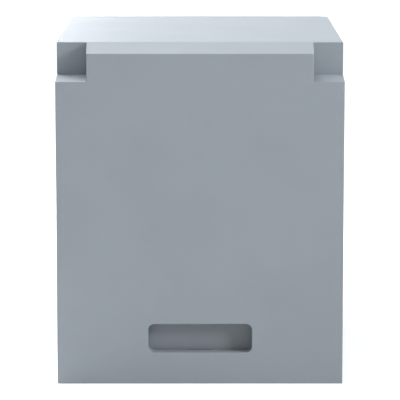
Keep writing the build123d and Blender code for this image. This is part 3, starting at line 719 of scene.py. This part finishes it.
def fixings_tree():
    """A wire along the start's edges, with an eyelet or a nail head on each point by its kind.
    The profile, the eyelet and the nail head are drawn 1 m across, and then scaled to size."""
    tree, given = new_tree(
        "frame_fixings", Points="Geometry", Wire="Float", Eyelet="Float", Nail="Float", Material="Material"
    )
    profile = add(tree, "GeometryNodeCurvePrimitiveCircle", {"Resolution": 6, "Radius": 0.5}).node
    thin = add(tree, "ShaderNodeCombineXYZ", {0: given["Wire"], 1: given["Wire"], 2: given["Wire"]})
    thin = add(tree, "GeometryNodeTransform", {"Geometry": profile.outputs[0], "Scale": thin})
    run = add(tree, "GeometryNodeMeshToCurve", {0: given["Points"]})
    bend = add(tree, "ShaderNodeMath", {0: given["Wire"], 1: 3.0}, operation="MULTIPLY")
    run = add(
        tree, "GeometryNodeFilletCurve", {"Curve": run, "Radius": bend, "Count": 3, "Limit Radius": True},
        mode="POLY",
    )
    tube = add(tree, "GeometryNodeCurveToMesh", {"Curve": run, "Profile Curve": thin, "Fill Caps": True})
    ring = add(tree, "GeometryNodeCurvePrimitiveCircle", {"Resolution": 14, "Radius": 0.36}).node
    bead = add(tree, "GeometryNodeCurvePrimitiveCircle", {"Resolution": 6, "Radius": 0.14}).node
    rolled = {"Curve": ring.outputs[0], "Profile Curve": bead.outputs[0]}
    flange = add(tree, "GeometryNodeCurveToMesh", rolled)
    disc = add(tree, "GeometryNodeMeshCylinder", {"Vertices": 16, "Radius": 0.5, "Depth": 0.3})
    kind = add(tree, "GeometryNodeInputNamedAttribute", {"Name": "kind"}, data_type="INT")
    turn = facing_turn(tree)
    joined = tree.nodes.new("GeometryNodeJoinGeometry")
    tree.links.new(tube, joined.inputs[0])
    for wanted, shape, across in ((EYELET, flange, "Eyelet"), (NAIL, disc, "Nail")):
        chosen = add(tree, "FunctionNodeCompare", {2: kind, 3: wanted}, data_type="INT", operation="EQUAL")
        size = add(tree, "ShaderNodeCombineXYZ", {axis: given[across] for axis in range(3)})
        set_down = {
            "Points": given["Points"], "Selection": chosen, "Instance": shape, "Rotation": turn, "Scale": size
        }
        tree.links.new(add(tree, "GeometryNodeInstanceOnPoints", set_down), joined.inputs[0])
    smooth = add(tree, "GeometryNodeSetShadeSmooth", {"Geometry": joined.outputs[0]})
    end_tree(tree, smooth, given["Material"])
    return tree


def fixing_points(number, look):
    """The wire's corners, the eyelets and the nails of one frame, as a mesh of points and edges."""
    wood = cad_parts[f"frame_{number}"].data.vertices
    low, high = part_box(f"frame_{number}")
    wax_low, wax_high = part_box(f"foundation_{number}")
    middle = (wax_low + wax_high) / 2
    out = max(v.co.y for v in wood if v.co.z < middle.z) - middle.y
    bar = out - (wax_high.y - middle.y)
    face = wax_high.x - look.wire * 0.1  # the wire is sunk a little into the wax
    spots, kinds, facings = [], [], []
    for run in range(look.runs):
        height = wax_high.z - (run + 0.5) / look.runs * (wax_high.z - wax_low.z)
        for side in (1, -1) if run % 2 else (-1, 1):
            spots.append((face, middle.y + side * (out + look.wire / 2), height))
            kinds.append(WIRE)
            facings.append((0, side, 0))
    edges = [(n, n + 1) for n in range(len(spots) - 1)]
    for x, y, z in list(spots):
        side = 1 if y > middle.y else -1
        spots.append((x, middle.y + side * out, z))
        kinds.append(EYELET)
        facings.append((0, side, 0))
    nail_offset = (high.x - low.x) / 6
    for end in (-1, 1):
        for side in (-1, 1):
            spots.append((middle.x + side * nail_offset, middle.y + end * (out - bar / 2), high.z))
            kinds.append(NAIL)
            facings.append((0, 0, 1))
    mesh = bpy.data.meshes.new("fixing_points")
    mesh.from_pydata(spots, edges, [])
    mesh.attributes.new("kind", "INT", "POINT").data.foreach_set("value", kinds)
    flat = [part for facing in facings for part in facing]
    mesh.attributes.new("facing", "FLOAT_VECTOR", "POINT").data.foreach_set("vector", flat)
    return mesh


class HIVE_OT_wires(Operator):
    """String each frame with wire through its eyelets, and nail its corners"""

    bl_idname = "hive.wires"
    bl_label = "Wire the frames"

    def execute(self, context):
        look = context.scene.hive_wires
        plate = zinc_plate("zinc_plated_wire", context.scene.hive_screws.zinc)
        tree = fixings_tree()
        values = {"Wire": look.wire, "Eyelet": look.eyelet, "Nail": look.nail, "Material": plate}
        for number in FRAME_NUMBERS:
            piece = grow(f"frame_fixings_{number}", tree, values, fixing_points(number, look))
            ride(piece, f"frame_{number}", "zinc_screws")
        return {"FINISHED"}


# --- Metal and plastic -----------------------------------------------------------------------


class HiveFittings(PropertyGroup):
    """The entrance, the drawer, the rails, the feeder and the hood."""

    # Painted shade in part: the plastic's own grey, set darker than the paint so that the shutter at the back
    # of the entrance recess carries the recess's shade. The cassette, the drawer and the clamp share it.
    shutter_grey_and_shade: colour("Shutter plastic", "Moulded grey polypropylene", "#7D848A")
    board: colour("Drawer sheet", "The pale sheet that shows what falls", "#C9CBC4")
    ink: colour("Counting grid", "The grid on the drawer's sheet", "#6F797F")
    grid: length("Grid spacing", "From one line of the counting grid to the next", 25)
    alloy: colour("Aluminium", "Mill-finish aluminium", "#C9CBCE")
    coating: colour("Galvanised steel", "Hot-dip zinc", "#AEB3B6")
    coating_dark: colour("Galvanised shade", "The darker crystals of the zinc", "#93999D")
    spangle: length("Spangle", "Width of one zinc crystal", 7)
    tub: colour("Feeder plastic", "Moulded ivory polystyrene", "#CFCBBE")
    hood: colour("Hood plastic", "Clear polycarbonate", "#F1F7F8")


def moulded_plastic(name, tone):
    """Moulded polypropylene: one colour through, with the fine even grain of an eroded mould."""
    material, tree, place = new_material(name)
    grain = add(tree, "ShaderNodeTexNoise", {"Vector": place, "Scale": 1 / (0.8 * MM), "Detail": 2.0})
    rough = add(tree, "ShaderNodeMapRange", {0: grain, 1: 0.3, 2: 0.7, 3: 0.42, 4: 0.56})
    flow = add(tree, "ShaderNodeTexNoise", {"Vector": place, "Scale": 1 / (60 * MM), "Detail": 2.0})
    tint = add(tree, "ShaderNodeMapRange", {0: flow, 1: 0.3, 2: 0.7, 3: 0.97, 4: 1.03})
    base = add(tree, "ShaderNodeVectorMath", {0: tone[:3], "Scale": tint}, operation="SCALE")
    skin = add(tree, "ShaderNodeBump", {"Height": grain, "Distance": 0.03 * MM})
    return shade(material, {"Base Color": base, "Roughness": rough, "Normal": skin})


def gridded_sheet(look):
    """Pale polypropylene sheet with a counting grid on top: smooth, with thin grey printed lines."""
    material, tree, place = new_material("gridded_polypropylene_sheet")
    low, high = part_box("varroa_board")
    middle = (low + high) / 2
    home = add(tree, "ShaderNodeVectorMath", {0: place, 1: middle}, operation="SUBTRACT")
    cells = stretched(tree, home, (look.grid,) * 3)
    wrapped = add(tree, "ShaderNodeVectorMath", {0: cells}, operation="FRACTION")
    axes = add(tree, "ShaderNodeSeparateXYZ", {0: wrapped}).node.outputs
    line = 0.4 * MM / look.grid  # half of a printed line's width, in cells
    lines = [
        add(tree, "ShaderNodeMath", {0: axis, 1: 0.5, 2: 0.5 - line}, operation="COMPARE")
        for axis in (axes["X"], axes["Y"])
    ]
    blank = add(tree, "ShaderNodeMath", {0: lines[0], 1: lines[1]}, operation="MULTIPLY")
    way = add(tree, "ShaderNodeNewGeometry", out="Normal")
    up = add(tree, "ShaderNodeSeparateXYZ", {0: way}, out="Z")
    below = add(tree, "ShaderNodeMath", {0: up, 1: 0.5}, operation="LESS_THAN")
    blank = add(tree, "ShaderNodeMath", {0: blank, 1: below}, operation="MAXIMUM")
    base = add(tree, "ShaderNodeMix", {0: blank, 6: look.ink, 7: look.board}, out=2, data_type="RGBA")
    dust = add(tree, "ShaderNodeTexNoise", {"Vector": place, "Scale": 1 / (4 * MM), "Detail": 3.0})
    rough = add(tree, "ShaderNodeMapRange", {0: dust, 3: 0.3, 4: 0.5})
    return shade(material, {"Base Color": base, "Roughness": rough})


def extruded_aluminium(look):
    """Mill-finish extruded aluminium: a soft metal shine drawn out along the die's fine lines."""
    material, tree, place = new_material("extruded_aluminium")
    along = stretched(tree, place, (0.5 * MM, 60 * MM, 0.5 * MM))
    lines = add(tree, "ShaderNodeTexNoise", {"Vector": along, "Scale": 1.0, "Detail": 2.0})
    rough = add(tree, "ShaderNodeMapRange", {0: lines, 1: 0.3, 2: 0.7, 3: 0.28, 4: 0.46})
    skin = add(tree, "ShaderNodeBump", {"Height": lines, "Distance": 0.02 * MM})
    return shade(material, {"Base Color": look.alloy, "Metallic": 1.0, "Roughness": rough, "Normal": skin})


def galvanised_sheet(look):
    """Hot-dip galvanised steel: a dull metal whose zinc crystals differ in tone and shine."""
    material, tree, place = new_material("hot_dip_galvanised_steel")
    crystals = {"Vector": place, "Scale": 1 / look.spangle}
    cell = add(tree, "ShaderNodeTexVoronoi", crystals, out="Color")
    shares = add(tree, "ShaderNodeSeparateXYZ", {0: cell}).node.outputs
    tones = {0: shares["X"], 6: look.coating_dark, 7: look.coating}
    base = add(tree, "ShaderNodeMix", tones, out=2, data_type="RGBA")
    rough = add(tree, "ShaderNodeMapRange", {0: shares["Y"], 3: 0.32, 4: 0.52})
    return shade(material, {"Base Color": base, "Metallic": 1.0, "Roughness": rough})


def feeder_plastic(look):
    """Moulded polystyrene: ivory and evenly glossy, with a slight ripple where it cooled."""
    material, tree, place = new_material("moulded_ivory_polystyrene")
    ripple = add(tree, "ShaderNodeTexNoise", {"Vector": place, "Scale": 1 / (30 * MM), "Detail": 2.0})
    rough = add(tree, "ShaderNodeMapRange", {0: ripple, 1: 0.3, 2: 0.7, 3: 0.32, 4: 0.4})
    tint = add(tree, "ShaderNodeMapRange", {0: ripple, 1: 0.3, 2: 0.7, 3: 0.97, 4: 1.02})
    base = add(tree, "ShaderNodeVectorMath", {0: look.tub[:3], "Scale": tint}, operation="SCALE")
    skin = add(tree, "ShaderNodeBump", {"Height": ripple, "Distance": 0.15 * MM})
    return shade(material, {"Base Color": base, "Roughness": rough, "Normal": skin})


def clear_hood(look):
    """Clear polycarbonate: nearly colourless and glossy, with a faint haze."""
    material, tree, place = new_material("clear_polycarbonate")
    haze = add(tree, "ShaderNodeTexNoise", {"Vector": place, "Scale": 1 / (20 * MM), "Detail": 2.0})
    rough = add(tree, "ShaderNodeMapRange", {0: haze, 1: 0.3, 2: 0.7, 3: 0.03, 4: 0.09})
    clear = {"Base Color": look.hood, "Roughness": rough, "Transmission Weight": 0.92, "IOR": 1.58}
    return shade(material, clear)


class HIVE_OT_fittings(Operator):
    """Finish the plastic, aluminium and steel fittings and the feeder"""

    bl_idname = "hive.fittings"
    bl_label = "Finish the fittings"

    def execute(self, context):
        look = context.scene.hive_fittings
        # This grey holds painted shade for the back of the entrance recess, as well as the plastic's own
        # tone.
        grey = moulded_plastic("moulded_grey_polypropylene_with_painted_shade", look.shutter_grey_and_shade)
        dress(grey, "entrance_shutter", "entrance_cassette", "varroa_drawer", "mesh_clamp")
        dress(gridded_sheet(look), "varroa_board")
        dress(extruded_aluminium(look), "drawer_runner_left", "drawer_runner_right")
        dress(galvanised_sheet(look), "frame_rail_front", "frame_rail_back")
        dress(feeder_plastic(look), "top_feeder")
        dress(clear_hood(look), "feeder_hood")
        return {"FINISHED"}


# --- Wood ------------------------------------------------------------------------------------


class HiveWood(PropertyGroup):
    """The frames, the cleats and the crown board."""

    spring: colour("Spring wood", "The pale part of a growth ring", "#E2C69A")
    summer: colour("Summer wood", "The dark part of a growth ring", "#C79B62")
    veneer: colour("Veneer", "The crown board's birch faces", "#DFC59B")
    figure: colour("Veneer figure", "The darker figure of the veneer", "#CDAA78")
    glue: colour("Glue line", "The dark plies at the board's edge", "#A97F50")
    ring: length("Ring width", "Across one growth ring", 2.6)


def planed_pine(wood, name, *lying):
    """Planed pine: pale, dull wood with dark growth rings and fine fibres along each bar. Lying
    holds the boxes in which the bars lie. The wood outside them stands upright."""
    material, tree, place = new_material(name)
    if lying:
        between = within_box(tree, place, *lying[0])
        for box in lying[1:]:
            inside = {0: between, 1: within_box(tree, place, *box)}
            between = add(tree, "ShaderNodeMath", inside, operation="MAXIMUM")
        axes = add(tree, "ShaderNodeSeparateXYZ", {0: place}).node.outputs
        turned = add(tree, "ShaderNodeCombineXYZ", {0: axes["X"], 1: axes["Z"], 2: axes["Y"]})
        place = add(tree, "ShaderNodeMix", {0: between, 4: turned, 5: place}, out=1, data_type="VECTOR")
    slow = stretched(tree, place, (40 * MM, 260 * MM, 40 * MM))
    drift = add(tree, "ShaderNodeTexNoise", {"Vector": slow, "Scale": 1.0, "Detail": 2.0}, out="Color")
    swing = {0: drift, 1: (20 * MM, 0.0, 20 * MM), 2: place}
    swung = add(tree, "ShaderNodeVectorMath", swing, operation="MULTIPLY_ADD")
    # The rings stand round the tree's heart, which runs along Y well beside the bars.
    heart = (310 * MM, 0.0, -120 * MM)
    level = add(tree, "ShaderNodeVectorMath", {0: swung, 1: (1.0, 0.0, 1.0)}, operation="MULTIPLY")
    level = add(tree, "ShaderNodeVectorMath", {0: level, 1: heart}, operation="SUBTRACT")
    reach = add(tree, "ShaderNodeVectorMath", {0: level}, out="Value", operation="LENGTH")
    rings = add(tree, "ShaderNodeMath", {0: reach, 1: wood.ring}, operation="DIVIDE")
    part = add(tree, "ShaderNodeMath", {0: rings}, operation="FRACT")
    dark = add(tree, "ShaderNodeMapRange", {0: part, 1: 0.35, 2: 0.95}, interpolation_type="SMOOTHSTEP")
    strands = stretched(tree, place, (0.35 * MM, 14 * MM, 0.35 * MM))
    fibre = add(tree, "ShaderNodeTexNoise", {"Vector": strands, "Scale": 1.0, "Detail": 3.0})
    fleck = add(tree, "ShaderNodeMapRange", {0: fibre, 1: 0.3, 2: 0.7, 3: -0.2, 4: 0.2})
    tone = add(tree, "ShaderNodeMath", {0: dark, 1: 0.7, 2: fleck}, operation="MULTIPLY_ADD")
    base = add(tree, "ShaderNodeMix", {0: tone, 6: wood.spring, 7: wood.summer}, out=2, data_type="RGBA")
    rough = add(tree, "ShaderNodeMapRange", {0: fibre, 3: 0.55, 4: 0.8})
    skin = add(tree, "ShaderNodeBump", {"Height": fibre, "Distance": 0.08 * MM})
    return shade(material, {"Base Color": base, "Roughness": rough, "Normal": skin})


def birch_plywood(wood):
    """Birch plywood: pale faces with the broad, soft figure of peeled veneer, and striped edges."""
    material, tree, place = new_material("birch_plywood")
    low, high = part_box("crown_board")
    broad = stretched(tree, place, (26 * MM, 150 * MM, 26 * MM))
    warp = add(tree, "ShaderNodeTexNoise", {"Vector": broad, "Scale": 1.0, "Detail": 3.0, "Distortion": 0.6})
    bands = add(tree, "ShaderNodeMath", {0: warp, 1: 9.0}, operation="MULTIPLY")
    part = add(tree, "ShaderNodeMath", {0: bands, 1: 1.0}, operation="PINGPONG")
    strands = stretched(tree, place, (0.5 * MM, 18 * MM, 0.5 * MM))
    fibre = add(tree, "ShaderNodeTexNoise", {"Vector": strands, "Scale": 1.0, "Detail": 3.0})
    tone = add(tree, "ShaderNodeMath", {0: part, 1: 0.45, 2: fibre}, operation="MULTIPLY_ADD")
    tone = add(tree, "ShaderNodeMapRange", {0: tone, 1: 0.3, 2: 1.1})
    face = add(tree, "ShaderNodeMix", {0: tone, 6: wood.veneer, 7: wood.figure}, out=2, data_type="RGBA")
    plies = 7
    height = add(tree, "ShaderNodeSeparateXYZ", {0: place}, out="Z")
    stack = add(tree, "ShaderNodeMapRange", {0: height, 1: low.z, 2: high.z, 3: 0.0, 4: plies / 2})
    ply = add(tree, "ShaderNodeMath", {0: stack}, operation="FRACT")
    across = add(tree, "ShaderNodeMath", {0: ply, 1: 0.5}, operation="GREATER_THAN")
    edge = add(tree, "ShaderNodeMix", {0: across, 6: wood.figure, 7: wood.glue}, out=2, data_type="RGBA")
    way = add(tree, "ShaderNodeNewGeometry", out="Normal")
    up = add(tree, "ShaderNodeSeparateXYZ", {0: way}, out="Z")
    flat = add(tree, "ShaderNodeMath", {0: up}, operation="ABSOLUTE")
    flat = add(tree, "ShaderNodeMath", {0: flat, 1: 0.5}, operation="GREATER_THAN")
    base = add(tree, "ShaderNodeMix", {0: flat, 6: edge, 7: face}, out=2, data_type="RGBA")
    rough = add(tree, "ShaderNodeMapRange", {0: fibre, 3: 0.5, 4: 0.7})
    skin = add(tree, "ShaderNodeBump", {"Height": fibre, "Distance": 0.06 * MM})
    return shade(material, {"Base Color": base, "Roughness": rough, "Normal": skin})


class HIVE_OT_woodwork(Operator):
    """Finish the frames, the cleats and the crown board"""

    bl_idname = "hive.woodwork"
    bl_label = "Finish the woodwork"

    def execute(self, context):
        wood = context.scene.hive_wood
        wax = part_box("foundation_01")
        low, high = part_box("frame_01")
        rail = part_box("frame_rail_front")[1].z
        beyond = 1.0  # well past the hive's sides
        between = ((-beyond, wax[0].y, low.z), (beyond, wax[1].y, high.z))
        lugs = ((-beyond, low.y - MM, rail), (beyond, high.y + MM, high.z + MM))
        pine = planed_pine(wood, "planed_pine_frames", between, lugs)
        dress(pine, *(f"frame_{number}" for number in FRAME_NUMBERS))
        dress(planed_pine(wood, "planed_pine_cleats"), "crown_cleat_left", "crown_cleat_right")
        dress(birch_plywood(wood), "crown_board")
        return {"FINISHED"}


# --- Stage -----------------------------------------------------------------------------------


class HiveStage(PropertyGroup):
    """The camera, the floor and the lights."""

    lens: FloatProperty(name="Lens", description="Focal length in millimetres", min=1, default=229.4)
    away: length("Distance", "From the front of the hive to the camera", 4113)
    height: length("Height", "Of the camera above the floor", 936)
    tilt: FloatProperty(
        name="Tilt", description="How far the camera looks down", subtype="ANGLE", default=math.radians(8.7)
    )
    floor: colour("Floor", "The pale floor", "#F2F2F2")


def light_world(scene):
    """An even white room: full white to the eye and in reflections, and softer as light."""
    world = bpy.data.worlds.new("white_room")
    world.use_nodes = True
    tree = world.node_tree
    tree.nodes.clear()
    rays = add(tree, "ShaderNodeLightPath").node.outputs
    seen = add(
        tree, "ShaderNodeMath", {0: rays["Is Camera Ray"], 1: rays["Is Glossy Ray"]}, operation="MAXIMUM"
    )
    seen = add(tree, "ShaderNodeMath", {0: seen, 1: rays["Is Transmission Ray"]}, operation="MAXIMUM")
    strength = add(tree, "ShaderNodeMapRange", {0: seen, 3: 0.25, 4: 1.0})
    white = add(tree, "ShaderNodeBackground", {"Color": (1, 1, 1, 1), "Strength": strength})
    add(tree, "ShaderNodeOutputWorld", {"Surface": white})
    scene.world = world


def lay_floor(stage):
    """A wide floor of matt paper: an even white with no shine, a little greyer under a shadow."""
    reach = 12.0
    corners = [(-reach, -reach, 0), (reach, -reach, 0), (reach, reach, 0), (-reach, reach, 0)]
    floor = put("floor", bpy.data.meshes.new("floor"))
    floor.data.from_pydata(corners, [], [(0, 1, 2, 3)])
    material, tree, place = new_material("matt_white_paper")
    # Away from the hive the paper glows to the eye, so that it meets the white room without an edge.
    rays = add(tree, "ShaderNodeLightPath").node.outputs
    seen = add(
        tree, "ShaderNodeMath", {0: rays["Is Camera Ray"], 1: rays["Is Glossy Ray"]}, operation="MAXIMUM"
    )
    away = add(tree, "ShaderNodeVectorMath", {0: place}, out="Value", operation="LENGTH")
    level = add(tree, "ShaderNodeMapRange", {0: away, 1: 0.4, 2: 2.4, 3: 0.4, 4: 0.85})
    glow = add(tree, "ShaderNodeMath", {0: seen, 1: level}, operation="MULTIPLY")
    paper = {
        "Base Color": stage.floor, "Roughness": 0.9, "Specular IOR Level": 0.0,
        "Emission Color": (1, 1, 1, 1), "Emission Strength": glow,
    }
    floor.data.materials.append(shade(material, paper))


LAMPS = {
    # name: (place, width, height, watts, aimed at)
    "key": ((5.4, -3.3, 3.0), 1.6, 1.6, 262, (0, -0.1, 0.3)),
    "over_front": ((0, -1.4, 2.7), 1.6, 1.6, 15, (0, 0, 0.4)),
    "over_right": ((1.4, -0.5, 2.2), 0.9, 0.9, 3.5, (0, 0, 0.5)),
    "overhead": ((-0.5, 0.2, 2.6), 1.2, 1.2, 24, (0, 0, 0.3)),
    "over_left": ((-1.3, 0.9, 1.8), 0.9, 0.9, 33, (-0.1, 0, 0.5)),
    "rim": ((-0.9, 2.4, 0.95), 1.2, 0.5, 18.5, (-0.1, 0, 0.56)),
}


def hang_lamps():
    """Soft lamps: a key far to the front right, weak ones above the front, the right, the middle
    and the left of the hive, and one behind it that grazes the lid."""
    for name, (spot, width, height, watts, target) in LAMPS.items():
        light = bpy.data.lights.new(name, "AREA")
        light.shape = "RECTANGLE"
        light.size, light.size_y = width, height
        light.energy = watts
        lamp = put(name, light)
        lamp.location = spot
        lamp.rotation_euler = (Vector(target) - Vector(spot)).to_track_quat("-Z", "Y").to_euler()
        lamp.visible_camera = False


class HIVE_OT_stage(Operator):
    """Lay the floor, hang the lamps and set the camera"""

    bl_idname = "hive.stage"
    bl_label = "Set the stage"

    def execute(self, context):
        stage = context.scene.hive_stage
        camera = put("camera", bpy.data.cameras.new("camera"))
        camera.data.lens = stage.lens
        camera.location = (0, CAD_BOX[0].y - stage.away, stage.height)
        camera.rotation_euler = (math.radians(90) - stage.tilt, 0, 0)
        context.scene.camera = camera
        context.scene.view_settings.view_transform = "Standard"
        light_world(context.scene)
        lay_floor(stage)
        hang_lamps()
        return {"FINISHED"}


# --- Add-on ----------------------------------------------------------------------------------


GROUPS = {
    "hive_paint": HivePaint,
    "hive_cloth": HiveCloth,
    "hive_wax": HiveWax,
    "hive_screws": HiveScrews,
    "hive_wires": HiveWires,
    "hive_fittings": HiveFittings,
    "hive_wood": HiveWood,
    "hive_stage": HiveStage,
}
OPERATORS = (
    HIVE_OT_casing, HIVE_OT_floor_mesh, HIVE_OT_foundation, HIVE_OT_screws, HIVE_OT_wires,
    HIVE_OT_fittings, HIVE_OT_woodwork, HIVE_OT_stage,
)


class HIVE_PT_finishes(Panel):
    """Lists the hive's operators, sizes and colours"""

    bl_idname = "HIVE_PT_finishes"
    bl_label = "Beehive"
    bl_space_type = "VIEW_3D"
    bl_region_type = "UI"
    bl_category = "Beehive"

    def draw(self, context):
        for operator in OPERATORS:
            self.layout.operator(operator.bl_idname)
        for name, group in GROUPS.items():
            box = self.layout.box()
            for key in group.__annotations__:
                box.prop(getattr(context.scene, name), key)


def register():
    for kind in (*GROUPS.values(), *OPERATORS, HIVE_PT_finishes):
        bpy.utils.register_class(kind)
    for name, group in GROUPS.items():
        setattr(bpy.types.Scene, name, PointerProperty(type=group))


def unregister():
    for name in GROUPS:
        delattr(bpy.types.Scene, name)
    for kind in reversed((*GROUPS.values(), *OPERATORS, HIVE_PT_finishes)):
        bpy.utils.unregister_class(kind)


def main():
    """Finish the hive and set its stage."""
    register()
    for operator in OPERATORS:
        name = operator.bl_idname.split(".")[1]
        if getattr(bpy.ops.hive, name)() != {"FINISHED"}:
            raise RuntimeError(f"{name} didn't finish")


if __name__ == "__main__":
    main()
